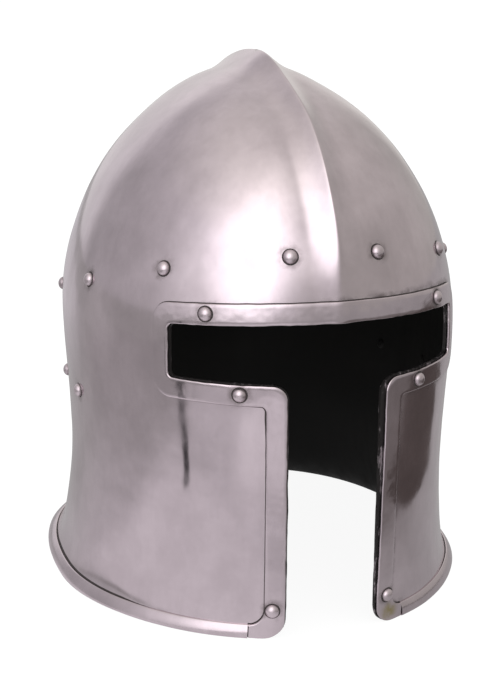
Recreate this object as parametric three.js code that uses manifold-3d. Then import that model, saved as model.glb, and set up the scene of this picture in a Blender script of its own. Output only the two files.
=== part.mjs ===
// A steel barbute: a keeled skull with cheeks and neck in one piece, a riveted border round
// the T-shaped face opening, a strip along the lower edge, and domed rivets.
// Millimetres, +Z up. The face looks along -Y, and +X is the wearer's left.
import * as THREE from 'three';
import { mergeVertices } from 'three/addons/utils/BufferGeometryUtils.js';
import Module from 'manifold-3d';

// The skull plate
const helmHeight = 283.5; // lower edge to the top of the ridge
const templeWidth = 208; // outside, across the temples
const skullLength = 244; // outside, brow to back, without the ridge
const wall = 1.6; // steel plate
const crownBack = 0.6; // the crown lies this far behind the widest line

// The ridge along the middle of the skull
const ridgeAtCrown = 7.2; // how far its crest stands off the round skull
const ridgeAtBrow = 4.7;
const ridgeReach = 14; // from the crest to the foot of each flank

// The T-shaped opening, measured round the outside from the middle of the face
const slotEnd = 86.6; // middle to the end of the eye slot
const slotFloor = 132.5; // height of the slot's lower edge
const slotRoof = 162.6; // height of its upper edge in the middle
const slotDroop = 3.6; // its upper edge is lower by this at the ends
const slotCorner = 2.6;
const gapAtEyes = 26; // half the gap between the cheeks, at the slot
const gapAtChin = 25.2; // half the gap at the lower edge
const cheekTopCorner = 7.5;
const cheekTipCorner = 10.5;

// The border round the opening
const borderWidth = 10.3;
const borderEndWidth = 8.6; // round the ends of the slot
const borderSteel = 1.4;
const borderToe = 43; // where its foot meets the lower strip
const borderCornerInside = 2.5; // its outer edge at the top of the cheek
const borderCornerTip = 8; // its outer edge above the tip of the cheek
const borderCornerSlot = 9.5; // its outer edge round the ends of the slot

// The strip along the lower edge
const stripHeight = 7.2;
const stripSteel = 1.7;

// Rivets
const headRadius = 3.6;
const headHeight = 2.7;
const shankRadius = 1.7;
const tailRadius = 2.9;
const tailHeight = 1.1;

// Clearances
const plateGap = 0.35; // between plates that lie on each other
const headGap = 0.3; // under a rivet's head
const tailGap = 0.6; // under a rivet's inner end
const holeGap = 0.3; // round a rivet's shank
const buttGap = 0.35; // between the border's foot and the strip's end

// Facets
const columns = 30; // per half turn
const rows = 22;
const rivetSides = 8;
const slotSteps = 24;
const chinSteps = 8;
const cornerSteps = 3;
const stripSteps = 36;

// Cross sections of the round skull, lower edge first. up is a share of its height, side a
// share of half the width, front and rear shares of half the length.
const sections = [
  { up: 0.0, side: 1.096, front: 0.995, rear: 1.093 },
  { up: 0.045, side: 1.031, front: 1.005, rear: 0.957 },
  { up: 0.13, side: 0.995, front: 1.01, rear: 0.875 },
  { up: 0.25, side: 0.974, front: 1.013, rear: 0.869 },
  { up: 0.4, side: 0.99, front: 1.008, rear: 0.935 },
  { up: 0.55, side: 1.0, front: 0.998, rear: 0.998 },
  { up: 0.68, side: 0.926, front: 0.954, rear: 0.975 },
  { up: 0.8, side: 0.774, front: 0.814, rear: 0.856 },
  { up: 0.9, side: 0.544, front: 0.601, rear: 0.673 },
  { up: 0.965, side: 0.295, front: 0.298, rear: 0.472 },
];

// How square the plan is: 2 is an ellipse.
const plan = { cheeks: 1.94, forehead: 2.04, back: 2.18 };

// The border's rivets, on each side of the face. arc is measured as for the opening.
const borderRivets = [
  { name: 'brow', arc: 0.76 * slotEnd, up: slotRoof + 0.56 * borderWidth - 0.65 * slotDroop },
  { name: 'cheek', arc: 0.567 * slotEnd, up: slotFloor - 0.47 * borderWidth },
  { name: 'tip', arc: gapAtChin + 0.62 * borderWidth, up: cheekTipCorner + borderWidth / 2 },
];

// The ring of rivets round the skull. arc is a share of the way from the middle of the face
// to the back, over a share of the way from the border's upper edge to the top, and sides
// the wearer's right (-1) and left (1).
const ringRivets = [
  { name: 'ring_front', arc: 0.069, over: 0.192, sides: [-1, 1] },
  { name: 'ring_brow', arc: 0.26, over: 0.104, sides: [-1] },
  { name: 'ring_brow', arc: 0.24, over: 0.13, sides: [1] },
  { name: 'ring_temple', arc: 0.426, over: -0.031, sides: [-1] },
  { name: 'ring_temple', arc: 0.385, over: 0.042, sides: [1] },
  { name: 'ring_ear', arc: 0.638, over: -0.195, sides: [-1, 1] },
  { name: 'ring_behind', arc: 0.775, over: -0.251, sides: [-1, 1] },
  { name: 'ring_back', arc: 0.915, over: -0.29, sides: [-1, 1] },
];

// The pair low on each side. up is a share of the height of the eye slot's lower edge.
const strapRivets = [
  { name: 'strap_front', arc: 0.485, up: 0.796, sides: [-1, 1] },
  { name: 'strap_rear', arc: 0.622, up: 0.782, sides: [-1, 1] },
];

const roundHeight = helmHeight - ridgeAtCrown;
const last = sections.length;

const clamp = THREE.MathUtils.clamp;
const smoothstep = THREE.MathUtils.smoothstep;

// A natural cubic through equally spaced values.
function smoothThrough(values) {
  const bend = values.map(() => 0);
  const lower = values.map(() => 0);
  for (let i = 1; i < values.length - 1; i++) {
    const pivot = 4 - lower[i - 1];
    const change = values[i + 1] - 2 * values[i] + values[i - 1];
    lower[i] = 1 / pivot;
    bend[i] = (6 * change - bend[i - 1]) / pivot;
  }
  for (let i = values.length - 2; i > 0; i--) bend[i] -= lower[i] * bend[i + 1];
  return (q) => {
    const i = clamp(Math.floor(q), 0, values.length - 2);
    const f = q - i;
    const g = 1 - f;
    const curve = (g ** 3 - g) * bend[i] + (f ** 3 - f) * bend[i + 1];
    return g * values[i] + f * values[i + 1] + curve / 6;
  };
}

// Each column of the table runs on past the crown, mirrored, so that the top is round.
function columnOf(read, crown, odd) {
  const values = sections.map(read);
  const mirror = (v) => (odd ? 2 * crown - v : v);
  return smoothThrough([...values, crown, mirror(values[last - 1]), mirror(values[last - 2])]);
}

const heightAt = columnOf((row) => row.up * roundHeight, roundHeight, false);
const sideAt = columnOf((row) => (row.side * templeWidth) / 2, 0, true);
const frontAt = columnOf((row) => (-row.front * skullLength) / 2, crownBack, true);
const rearAt = columnOf((row) => (row.rear * skullLength) / 2, crownBack, true);
const middleAt = (q) => crownBack * (Math.min(q, last) / last) ** 3;

const signedPower = (v, power) => Math.sign(v) * Math.abs(v) ** power;

// turn: angle round the helmet from the face, towards the wearer's left
// rise: 0 at the lower edge, 1 at the crown
function roundSkull(turn, rise) {
  const q = rise * last;
  const s = Math.sin(turn);
  const c = Math.cos(turn);
  const upper = smoothstep(rise, 0.15, 0.55);
  const square = THREE.MathUtils.lerp(plan.cheeks, plan.forehead, upper);
  const ahead = smoothstep(0.5 + 0.75 * c, 0, 1);
  const power = 2 / THREE.MathUtils.lerp(plan.back, square, ahead);
  const middle = middleAt(q);
  const reach = c >= 0 ? middle - frontAt(q) : rearAt(q) - middle;
  return new THREE.Vector3(
    sideAt(q) * signedPower(s, power),
    middle - reach * signedPower(c, power),
    heightAt(q),
  );
}

function outward(turn, rise) {
  const step = 0.002;
  const at = Math.min(rise, 1 - step);
  const along = roundSkull(turn + step, at).sub(roundSkull(turn - step, at));
  const up = roundSkull(turn, at + step / 2).sub(roundSkull(turn, at - step / 2));
  const normal = along.cross(up);
  if (rise < step) normal.z = 0;
  return normal.normalize();
}

// The ridge fades out at the nape and is cut off by the eye slot in front.
function ridge(turn, rise, x) {
  const front = Math.cos(turn) >= 0;
  const growth = front ? smoothstep(rise, 0.4, 1) : smoothstep(rise, 0.35, 1);
  const crest = THREE.MathUtils.lerp(front ? ridgeAtBrow : 0, ridgeAtCrown, growth);
  return crest * (1 - clamp(Math.abs(x) / ridgeReach, 0, 1)) ** 2;
}

// A point standing off the outer surface of the plate by lift.
function offSkull(turn, rise, lift) {
  const point = roundSkull(turn, rise);
  return point.addScaledVector(outward(turn, rise), ridge(turn, rise, point.x) + lift);
}

function riseAt(up) {
  let low = 0;
  let high = 1;
  for (let i = 0; i < 30; i++) {
    const mid = (low + high) / 2;
    if (heightAt(mid * last) < up) low = mid;
    else high = mid;
  }
  return low;
}

// The turn that lies a given way round the outside from the middle of the face.
function turnAt(arc, rise) {
  const step = Math.PI / 180;
  let gone = 0;
  let here = roundSkull(0, rise);
  for (let i = 1; i <= 180; i++) {
    const next = roundSkull(i * step, rise);
    const length = next.distanceTo(here);
    if (gone + length >= Math.abs(arc)) {
      return Math.sign(arc) * (i - 1 + (Math.abs(arc) - gone) / length) * step;
    }
    gone += length;
    here = next;
  }
  return Math.sign(arc) * Math.PI;
}

function wayToBack(rise) {
  let length = 0;
  for (let i = 0; i < 180; i++) {
    const step = Math.PI / 180;
    length += roundSkull(i * step, rise).distanceTo(roundSkull((i + 1) * step, rise));
  }
  return length;
}

function onPlate(arc, up, lift) {
  const rise = riseAt(up);
  const point = offSkull(turnAt(arc, rise), rise, lift);
  if (up < 0) point.z = up;
  return point;
}

// Closed meshes
function closedMesh(points, faces) {
  let volume = 0;
  for (const [a, b, c] of faces) {
    volume += points[a].dot(new THREE.Vector3().crossVectors(points[b], points[c]));
  }
  const index = faces.flatMap(([a, b, c]) => (volume < 0 ? [a, c, b] : [a, b, c]));
  const geometry = new THREE.BufferGeometry();
  const flat = points.flatMap((p) => [p.x, p.y, p.z]);
  geometry.setAttribute('position', new THREE.Float32BufferAttribute(flat, 3));
  geometry.setIndex(index);
  return geometry;
}

function sweep(rings) {
  const n = rings[0].length;
  const faces = [];
  for (let i = 0; i + 1 < rings.length; i++) {
    for (let j = 0; j < n; j++) {
      const a = i * n + j;
      const b = i * n + ((j + 1) % n);
      faces.push([a, b, b + n], [a, b + n, a + n]);
    }
  }
  const end = (rings.length - 1) * n;
  for (let j = 1; j + 1 < n; j++) faces.push([0, j + 1, j], [end, end + j, end + j + 1]);
  return closedMesh(rings.flat(), faces);
}

const wasm = await Module();
wasm.setup();

function solidOf(geometry) {
  const bare = geometry.clone();
  bare.deleteAttribute('normal');
  bare.deleteAttribute('uv');
  const merged = mergeVertices(bare, 1e-4);
  const mesh = new wasm.Mesh({
    numProp: 3,
    vertProperties: new Float32Array(merged.attributes.position.array),
    triVerts: new Uint32Array(merged.index.array),
  });
  return new wasm.Manifold(mesh);
}

function geometryOf(solid) {
  const mesh = solid.getMesh();
  const geometry = new THREE.BufferGeometry();
  geometry.setAttribute('position', new THREE.BufferAttribute(mesh.vertProperties, mesh.numProp));
  geometry.setIndex(new THREE.BufferAttribute(mesh.triVerts, 1));
  return geometry;
}

function cutAll(geometry, cutters) {
  let solid = solidOf(geometry);
  for (const cutter of cutters) solid = solid.subtract(solidOf(cutter));
  return geometryOf(solid);
}

// The skull plate before the opening is cut: an outer and an inner skin joined at the
// lower edge. The columns stand closer at the ridge, front and back.
function wholeSkull() {
  const points = [];
  const faces = [];
  const around = 2 * columns;
  const skin = (lift, flip) => {
    const first = points.length;
    for (let i = 0; i < rows; i++) {
      for (let j = 0; j < around; j++) {
        const u = j / columns;
        const turn = Math.PI * (u - 0.05 * Math.sin(2 * Math.PI * u));
        points.push(offSkull(turn, i / rows, lift));
      }
    }
    const crown = points.length;
    points.push(new THREE.Vector3(0, crownBack, helmHeight + lift));
    const face = (a, b, c) => faces.push(flip ? [a, c, b] : [a, b, c]);
    for (let j = 0; j < around; j++) {
      const k = (j + 1) % around;
      for (let i = 0; i < rows - 1; i++) {
        const a = first + i * around;
        const b = a + around;
        face(a + j, a + k, b + k);
        face(a + j, b + k, b + j);
      }
      const top = first + (rows - 1) * around;
      face(top + j, top + k, crown);
    }
    return first;
  };
  const outer = skin(0, false);
  const inner = skin(-wall, true);
  for (let j = 0; j < around; j++) {
    const k = (j + 1) % around;
    faces.push([outer + k, outer + j, inner + j], [outer + k, inner + j, inner + k]);
  }
  return closedMesh(points, faces);
}

// How far a round corner of radius r pulls an edge back, at a distance from its end.
const cornerPull = (r, from) => (from >= r ? 0 : r - Math.sqrt(r * r - (r - from) ** 2));

const roofAt = (arc) => slotRoof - slotDroop * (arc / slotEnd) ** 2;

function eyeSlotCutter() {
  const reach = 3 * wall;
  const stops = [];
  for (let i = 0; i <= slotSteps; i++) stops.push(-1 + (2 * i) / slotSteps);
  const nearEnd = 1 - (0.3 * slotCorner) / slotEnd;
  stops.splice(1, 0, -nearEnd);
  stops.splice(-1, 0, nearEnd);
  const rings = stops.map((share) => {
    const arc = share * slotEnd;
    const pull = cornerPull(slotCorner, slotEnd - Math.abs(arc));
    const low = slotFloor + pull;
    const high = roofAt(arc) - pull;
    return [
      onPlate(arc, low, -reach),
      onPlate(arc, low, reach),
      onPlate(arc, high, reach),
      onPlate(arc, high, -reach),
    ];
  });
  return sweep(rings);
}

// Half the gap between the cheeks, at a height.
function cheekEdge(up) {
  const straight = THREE.MathUtils.lerp(gapAtChin, gapAtEyes, up / slotFloor);
  const tip = cornerPull(cheekTipCorner, Math.max(up, 0));
  const top = cornerPull(cheekTopCorner, Math.max(slotFloor - up, 0));
  return straight + tip + top;
}

function faceCutter() {
  const reach = 12 * wall;
  const ups = [-2 * wall];
  for (const share of [0, 0.1, 0.3, 0.6, 1]) ups.push(share * cheekTipCorner);
  const span = slotFloor - cheekTopCorner - cheekTipCorner;
  for (let i = 1; i < chinSteps; i++) ups.push(cheekTipCorner + (span * i) / chinSteps);
  for (const share of [1, 0.6, 0.3, 0.1, 0]) ups.push(slotFloor - share * cheekTopCorner);
  ups.push((slotFloor + slotRoof) / 2);
  const rings = ups.map((up) => {
    const half = cheekEdge(clamp(up, 0, slotFloor));
    return [
      onPlate(-half, up, -reach),
      onPlate(half, up, -reach),
      onPlate(half, up, reach),
      onPlate(-half, up, reach),
    ];
  });
  return sweep(rings);
}

// An edge of the border as a line through corners, each rounded by its radius. Every
// edge gets the same number of points, so that two edges pair up.
function roundedEdge(corners, steps) {
  const at = corners.map((c) => new THREE.Vector2(c.arc, c.up));
  const points = [];
  let from = at[0];
  for (let i = 1; i < corners.length; i++) {
    const final = i === corners.length - 1;
    const back = at[i - 1].clone().sub(at[i]).normalize();
    const start = final ? at[i] : at[i].clone().addScaledVector(back, corners[i].radius);
    for (let k = 0; k < steps[i - 1]; k++) points.push(from.clone().lerp(start, k / steps[i - 1]));
    if (final) {
      points.push(at[i]);
      break;
    }
    const ahead = at[i + 1].clone().sub(at[i]).normalize();
    const stop = at[i].clone().addScaledVector(ahead, corners[i].radius);
    const hub = start.clone().add(stop).sub(at[i]);
    for (let k = 0; k < cornerSteps; k++) {
      const swing = (Math.PI / 2) * (k / cornerSteps);
      const arm = start.clone().sub(hub).multiplyScalar(Math.cos(swing));
      arm.addScaledVector(stop.clone().sub(hub), Math.sin(swing));
      points.push(hub.clone().add(arm));
    }
    from = stop;
  }
  return points;
}

function borderPiece() {
  const slotBack = slotEnd + borderEndWidth;
  const shelf = slotFloor - borderWidth;
  const steps = [1, chinSteps, 6, 2, 16];
  const opening = roundedEdge(
    [
      { arc: borderToe, up: 0 },
      { arc: gapAtChin, up: 0, radius: cheekTipCorner },
      { arc: gapAtEyes, up: slotFloor, radius: cheekTopCorner },
      { arc: slotEnd, up: slotFloor, radius: slotCorner },
      { arc: slotEnd, up: slotRoof, radius: slotCorner },
      { arc: 0, up: slotRoof },
    ],
    steps,
  );
  const outside = roundedEdge(
    [
      { arc: borderToe, up: stripHeight },
      { arc: gapAtChin + borderWidth, up: stripHeight, radius: borderCornerTip },
      { arc: gapAtEyes + borderWidth, up: shelf, radius: borderCornerInside },
      { arc: slotBack, up: shelf, radius: borderCornerSlot },
      { arc: slotBack, up: slotRoof + borderWidth, radius: borderCornerSlot },
      { arc: 0, up: slotRoof + borderWidth },
    ],
    steps,
  );
  const droop = (p) => {
    const share = smoothstep(p.y, slotFloor, slotRoof);
    return p.y - share * slotDroop * Math.min(p.x / slotEnd, 1) ** 2;
  };
  const ringAt = (i, side) => {
    const inner = opening[i];
    const outer = outside[i];
    const top = plateGap + borderSteel;
    return [
      onPlate(side * inner.x, droop(inner), plateGap),
      onPlate(side * outer.x, droop(outer), plateGap),
      onPlate(side * outer.x, droop(outer), top),
      onPlate(side * inner.x, droop(inner), top),
    ];
  };
  const rings = [];
  for (let i = 0; i < opening.length; i++) rings.push(ringAt(i, -1));
  for (let i = opening.length - 2; i >= 0; i--) rings.push(ringAt(i, 1));
  return sweep(rings);
}

function stripPiece() {
  const section = [
    { up: 0, lift: 0 },
    { up: 0, lift: 0.65 },
    { up: 0.35, lift: 1 },
    { up: 0.7, lift: 0.9 },
    { up: 1, lift: 0.5 },
    { up: 1, lift: 0 },
  ];
  const rings = [];
  for (let i = -stripSteps; i <= stripSteps; i++) {
    const ring = section.map((corner) => {
      const rise = riseAt(corner.up * stripHeight);
      const start = turnAt(borderToe + buttGap, rise);
      const turn = Math.PI + ((Math.PI - start) * i) / stripSteps;
      return offSkull(turn, rise, plateGap + corner.lift * stripSteel);
    });
    rings.push(ring);
  }
  return sweep(rings);
}

// A rivet along +Y: the plate's outer face is at 0, its inner face at -grip.
function rivetPiece(grip) {
  const tail = -grip - tailGap;
  const profile = [
    [0, tail - tailHeight],
    [0.7 * tailRadius, tail - tailHeight],
    [tailRadius, tail],
    [shankRadius, tail],
    [shankRadius, headGap],
    [headRadius, headGap],
    [0.78 * headRadius, headGap + 0.62 * headHeight],
    [0, headGap + headHeight],
  ];
  const points = profile.map(([r, y]) => new THREE.Vector2(r, y));
  return new THREE.LatheGeometry(points, rivetSides);
}

function holeCutter(seat) {
  const radius = (shankRadius + holeGap) / Math.cos(Math.PI / rivetSides);
  const cutter = new THREE.CylinderGeometry(radius, radius, 6 * wall, rivetSides);
  cutter.applyQuaternion(seat.along);
  cutter.translate(seat.point.x, seat.point.y, seat.point.z);
  return cutter;
}

// Where a rivet goes, and how it is turned.
function seatAt(arc, up, lift) {
  const rise = riseAt(up);
  const point = onPlate(arc, up, lift);
  const ahead = new THREE.Vector3(0, 1, 0);
  const along = new THREE.Quaternion().setFromUnitVectors(ahead, outward(turnAt(arc, rise), rise));
  return { point, along };
}

const sideName = (side) => (side < 0 ? 'right' : 'left');

const onBorder = plateGap + borderSteel;
const borderSeats = borderRivets.flatMap((row) =>
  [-1, 1].map((side) => ({
    name: `rivet_${row.name}_${sideName(side)}`,
    grip: wall + onBorder,
    ...seatAt(side * row.arc, row.up, onBorder),
  })),
);
const borderTop = slotRoof + borderWidth;
const skullRivets = [
  ...ringRivets.map((row) => ({ ...row, z: borderTop + row.over * (helmHeight - borderTop) })),
  ...strapRivets.map((row) => ({ ...row, z: row.up * slotFloor })),
];
const skullSeats = skullRivets.flatMap((row) =>
  row.sides.map((side) => {
    const arc = side * row.arc * wayToBack(riseAt(row.z));
    const name = `rivet_${row.name}_${sideName(side)}`;
    return { name, grip: wall, ...seatAt(arc, row.z, 0) };
  }),
);

const steel = { color: 0xb4aaae, metalness: 1, roughness: 0.28 };
const finish = {
  skull: new THREE.MeshStandardMaterial({ ...steel, side: THREE.DoubleSide }),
  border: new THREE.MeshStandardMaterial({ ...steel, color: 0xa89ea2 }),
  strip: new THREE.MeshStandardMaterial({ ...steel, color: 0xa0979b }),
  rivet: new THREE.MeshStandardMaterial({ ...steel, color: 0xbab1b4, roughness: 0.22 }),
};

const helmet = new THREE.Group();

function addPiece(name, geometry, material) {
  const mesh = new THREE.Mesh(geometry, material);
  mesh.name = name;
  helmet.add(mesh);
  return mesh;
}

const holes = (seats) => seats.map(holeCutter);
addPiece(
  'skull_shell',
  cutAll(wholeSkull(), [
    eyeSlotCutter(),
    faceCutter(),
    ...holes(borderSeats),
    ...holes(skullSeats),
  ]),
  finish.skull,
);
addPiece('face_border', cutAll(borderPiece(), holes(borderSeats)), finish.border);
addPiece('rim_strip', stripPiece(), finish.strip);
for (const seat of [...borderSeats, ...skullSeats]) {
  const rivet = addPiece(seat.name, rivetPiece(seat.grip), finish.rivet);
  rivet.position.copy(seat.point);
  rivet.quaternion.copy(seat.along);
}

// The origin lies under the middle of the whole, at the lower edge.
helmet.updateMatrixWorld(true);
const whole = new THREE.Box3().setFromObject(helmet, true);
helmet.position.y = -(whole.min.y + whole.max.y) / 2;

const barbute = new THREE.Group();
barbute.add(helmet);

export default barbute;
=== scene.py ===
import math

import bmesh
import bpy
import numpy as np
from mathutils import Matrix, Vector


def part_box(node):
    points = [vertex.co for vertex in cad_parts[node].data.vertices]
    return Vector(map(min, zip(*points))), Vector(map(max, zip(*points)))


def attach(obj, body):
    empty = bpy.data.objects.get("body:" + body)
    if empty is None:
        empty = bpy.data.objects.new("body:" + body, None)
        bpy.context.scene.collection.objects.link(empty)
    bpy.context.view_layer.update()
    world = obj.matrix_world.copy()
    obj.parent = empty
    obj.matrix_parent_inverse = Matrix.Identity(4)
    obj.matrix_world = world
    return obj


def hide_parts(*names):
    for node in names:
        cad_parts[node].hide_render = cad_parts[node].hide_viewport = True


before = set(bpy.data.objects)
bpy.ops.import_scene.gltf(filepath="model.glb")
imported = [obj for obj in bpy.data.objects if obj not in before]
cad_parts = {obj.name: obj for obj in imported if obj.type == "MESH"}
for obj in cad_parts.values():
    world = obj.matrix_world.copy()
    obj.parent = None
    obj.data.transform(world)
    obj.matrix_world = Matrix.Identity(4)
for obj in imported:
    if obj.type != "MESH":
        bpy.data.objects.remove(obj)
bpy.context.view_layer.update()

mm = 0.001
sharpAngle = 50  # in degrees. Sharper edges than this aren't shaded smooth.

# A steel barbute. It stands on its lower edge, faces -Y, and +X is the wearer's left.
# Sizes below are millimetres. Places on the skull are given as arc, the way round the
# outside from the middle of the face (minus on the wearer's right), and up, the height.

skull = {
    "height": 283.5,
    "templeWidth": 208,
    "length": 244,
    "wall": 1.6,
    "crownBack": 0.6,
    "ridgeAtCrown": 7.2,
    "ridgeAtBrow": 4.7,
    "ridgeReach": 14,
    "ridgeRound": 0.55,  # how blunt the crest is, and at the brow
    "browRound": 1.7,
    "browFade": 0.4,  # how much of the crest is left where it meets the border
    "browFadeOver": (0.55, 0.67),  # shares of the height, as in the other spans here
    "browRoundOver": (0.56, 0.72),
    "ridgeGrowsAhead": (0.4, 1),
    "ridgeGrowsBehind": (0.35, 1),
    "ridgeWidensOver": (0.85, 1),
    "ridgeWidening": 1.2,
    "planCheeks": 1.94,  # 2 is an ellipse, more is squarer
    "planForehead": 2.04,
    "planBack": 2.18,
    "planHem": 2.34,  # the back of the flared lower edge
    "foreheadOver": (0.15, 0.55),
    "hemOver": (0.08, 0.3),
    "columns": 340,
    "crowding": 0.13,  # how much closer the columns stand at the front and back
    "rows": 140,
    "sharpAngle": 40,
    "hammerDepth": 0.15,  # how uneven the hand-worked plate is
    "hammerWave": 34,
    "hammerBlows": ((1, 1, 3), (0.6, 0.55, 4), (0.9, 2.6, 6)),  # weight, share of the wave, seed
}

# Cross sections of the round skull, lower edge first: shares of the height, of half the
# width, and of half the length in front and behind.
sections = [
    {"up": 0.0, "side": 1.096, "front": 0.995, "rear": 1.093},
    {"up": 0.045, "side": 1.031, "front": 1.005, "rear": 0.957},
    {"up": 0.13, "side": 0.995, "front": 1.01, "rear": 0.875},
    {"up": 0.25, "side": 0.974, "front": 1.013, "rear": 0.869},
    {"up": 0.4, "side": 0.99, "front": 1.008, "rear": 0.935},
    {"up": 0.55, "side": 1.0, "front": 0.998, "rear": 0.998},
    {"up": 0.68, "side": 0.926, "front": 0.954, "rear": 0.975},
    {"up": 0.8, "side": 0.774, "front": 0.814, "rear": 0.856},
    {"up": 0.9, "side": 0.544, "front": 0.601, "rear": 0.673},
    {"up": 0.965, "side": 0.295, "front": 0.298, "rear": 0.472},
]

opening = {
    "slotEnd": 86.6,
    "slotFloor": 132.5,
    "slotRoof": 162.6,
    "slotDroop": 3.6,
    "slotCorner": 2.6,
    "gapAtEyes": 26,
    "gapAtChin": 25.2,
    "cheekTopCorner": 7.5,
    "cheekTipCorner": 10.5,
    "filing": 0.22,  # how uneven the filed edges are
    "filingWaves": ((0.6, 17), (0.4, 5.5)),
    "proud": 0.6,  # how far the painted plate shows past the border
    "proudLeft": 2.6,  # the same at the top of the wearer's left cheek
    "paintReach": 1.6,
}

border = {
    "width": 10.3,
    "endWidth": 8.6,
    "steel": 1.4,
    "toe": 43,
    "cornerInside": 2.5,
    "cornerTip": 8,
    "cornerSlot": 9.5,
    "gap": 0.35,
    "edgeRound": 0.65,
    "crestEasing": 12,  # how often the strip is eased over the crest of the skull
    "crestSpan": 16,  # and over how many points to each side
    "steps": (20, 120, 60, 28, 110),  # points on each stretch of its edges
    "cornerSteps": 10,
}

# The thin dark line beside the strips and under the rivets: painted shade of the gaps, with polish and dirt
# gathered there.
joint = {
    "width": 0.42,
    # where the border has lifted, the painted shade of the gap is wider
    "openAt": (-36.5, 117),  # where the border has lifted a little, on the wearer's right
    "openWidth": 0.5,
    "openReach": 7,
    "rimWidth": 0.75,
    "rimSteel": 0.5,
    "rimClear": 0.2,
    "rimFillet": 0.2,
    "ring": 0.5,
    "lift": 0.16,
}

# Painted shade, with dirt, round the rivets and along the joints, and one real stain.
shadeAndGrime = {
    "rivetReach": 2.6,
    "jointReach": 2.6,
    "leastShadeAlongJoints": 0.2,  # on the wearer's right, where the key light falls, the painted shade is weaker
    "shadeFadesOver": (-25, 15),
    "stainAt": (33.5, 5.5),  # a yellow stain at the foot of the wearer's left cheek
    "stainReach": 5.0,
}

rim = {
    "height": 7.2,
    "steel": 1.7,
    "gap": 0.35,
    "butt": 0.5,
    "fillet": 0.45,
    "bulge": 0.6,  # how far its face stands out along the middle
    "columns": 420,
    "outlinePoints": 44,
    "uneven": 0.02,
    "unevenWave": 40,
}

rivet = {
    "radius": 3.6,
    "height": 2.9,
    "seed": 5,
    "uneven": 0.05,
    "tailRadius": 2.9,
    "tailHeight": 1.0,
    "segments": 32,
    "rings": 24,
}

borderRivets = [
    {"arc": 65.8, "up": 166.0},
    {"arc": 49.1, "up": 127.7},
    {"arc": 31.6, "up": 15.6},
]

# arc is a share of the way from the middle of the face to the back.
ringRivets = [
    {"arc": 0.069, "up": 194.1, "sides": (-1, 1)},
    {"arc": 0.26, "up": 184.4, "sides": (-1,)},
    {"arc": 0.24, "up": 187.3, "sides": (1,)},
    {"arc": 0.426, "up": 169.5, "sides": (-1,)},
    {"arc": 0.385, "up": 177.5, "sides": (1,)},
    {"arc": 0.638, "up": 151.3, "sides": (-1, 1)},
    {"arc": 0.775, "up": 145.1, "sides": (-1, 1)},
    {"arc": 0.915, "up": 140.8, "sides": (-1, 1)},
    {"arc": 0.485, "up": 105.5, "sides": (-1, 1)},
    {"arc": 0.622, "up": 103.6, "sides": (-1, 1)},
]

rearAtHem = sections[0]["rear"] * skull["length"] / 2
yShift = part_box("skull_shell")[1].y / mm - rearAtHem


def smoothstep(x, low, high):
    share = np.clip((x - low) / (high - low), 0, 1)
    return share * share * (3 - 2 * share)


def lerp(a, b, share):
    return a + (b - a) * share


def naturalCubic(values):
    # a smooth curve through equally spaced values
    v = np.array(values, float)
    n = len(v)
    bend = np.zeros(n)
    change = v[2:] - 2 * v[1:-1] + v[:-2]
    weights = 4 * np.eye(n - 2) + np.eye(n - 2, k=1) + np.eye(n - 2, k=-1)
    bend[1:-1] = np.linalg.solve(weights, 6 * change)

    def curve(q):
        i = np.clip(np.floor(q).astype(int), 0, n - 2)
        f = q - i
        g = 1 - f
        return g * v[i] + f * v[i + 1] + ((g**3 - g) * bend[i] + (f**3 - f) * bend[i + 1]) / 6

    return curve


def overCrown(values, crown, odd):
    # the column runs on past the crown, mirrored, so that the top is round
    mirror = [2 * crown - v if odd else v for v in (values[-1], values[-2])]
    return naturalCubic(values + [crown] + mirror)


crown = len(sections)
roundHeight = skull["height"] - skull["ridgeAtCrown"]
heightAt = overCrown([row["up"] * roundHeight for row in sections], roundHeight, False)
sideAt = overCrown([row["side"] * skull["templeWidth"] / 2 for row in sections], 0, True)
frontAt = overCrown([-row["front"] * skull["length"] / 2 for row in sections], skull["crownBack"], True)
rearAt = overCrown([row["rear"] * skull["length"] / 2 for row in sections], skull["crownBack"], True)


def roundSkull(turn, rise):
    # turn: angle round the helmet from the face. rise: 0 at the lower edge, 1 at the crown.
    q = rise * crown
    s = np.sin(turn)
    c = np.cos(turn)
    square = lerp(skull["planCheeks"], skull["planForehead"], smoothstep(rise, *skull["foreheadOver"]))
    ahead = smoothstep(0.5 + 0.75 * c, 0, 1)
    behind = lerp(skull["planHem"], skull["planBack"], smoothstep(rise, *skull["hemOver"]))
    power = 2 / lerp(behind, square, ahead)
    middle = skull["crownBack"] * (np.minimum(q, crown) / crown) ** 3
    reach = np.where(c >= 0, middle - frontAt(q), rearAt(q) - middle)
    x = sideAt(q) * np.sign(s) * np.abs(s) ** power
    y = middle - reach * np.sign(c) * np.abs(c) ** power + yShift
    return np.stack([x, y, heightAt(q) + 0 * turn], axis=-1)


def outward(turn, rise):
    step = 0.002
    at = np.minimum(rise, 1 - step)
    along = roundSkull(turn + step, at) - roundSkull(turn - step, at)
    up = roundSkull(turn, at + step / 2) - roundSkull(turn, at - step / 2)
    normal = np.cross(along, up)
    normal[..., 2] = np.where(rise < step, 0, normal[..., 2])
    return normal / np.linalg.norm(normal, axis=-1, keepdims=True)


def ridge(turn, rise, x):
    front = np.cos(turn) >= 0
    ahead = smoothstep(rise, *skull["ridgeGrowsAhead"])
    growth = np.where(front, ahead, smoothstep(rise, *skull["ridgeGrowsBehind"]))
    crest = lerp(np.where(front, skull["ridgeAtBrow"], 0), skull["ridgeAtCrown"], growth)
    crest = crest * lerp(skull["browFade"], 1, smoothstep(rise, *skull["browFadeOver"]))
    blunt = lerp(skull["browRound"], skull["ridgeRound"], smoothstep(rise, *skull["browRoundOver"]))
    off = np.sqrt(x * x + blunt * blunt) - 0.4 * blunt
    widening = lerp(1, skull["ridgeWidening"], smoothstep(rise, *skull["ridgeWidensOver"]))
    reach = skull["ridgeReach"] * widening
    return crest * (1 - np.clip(off / reach, 0, 1)) ** 2


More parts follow.
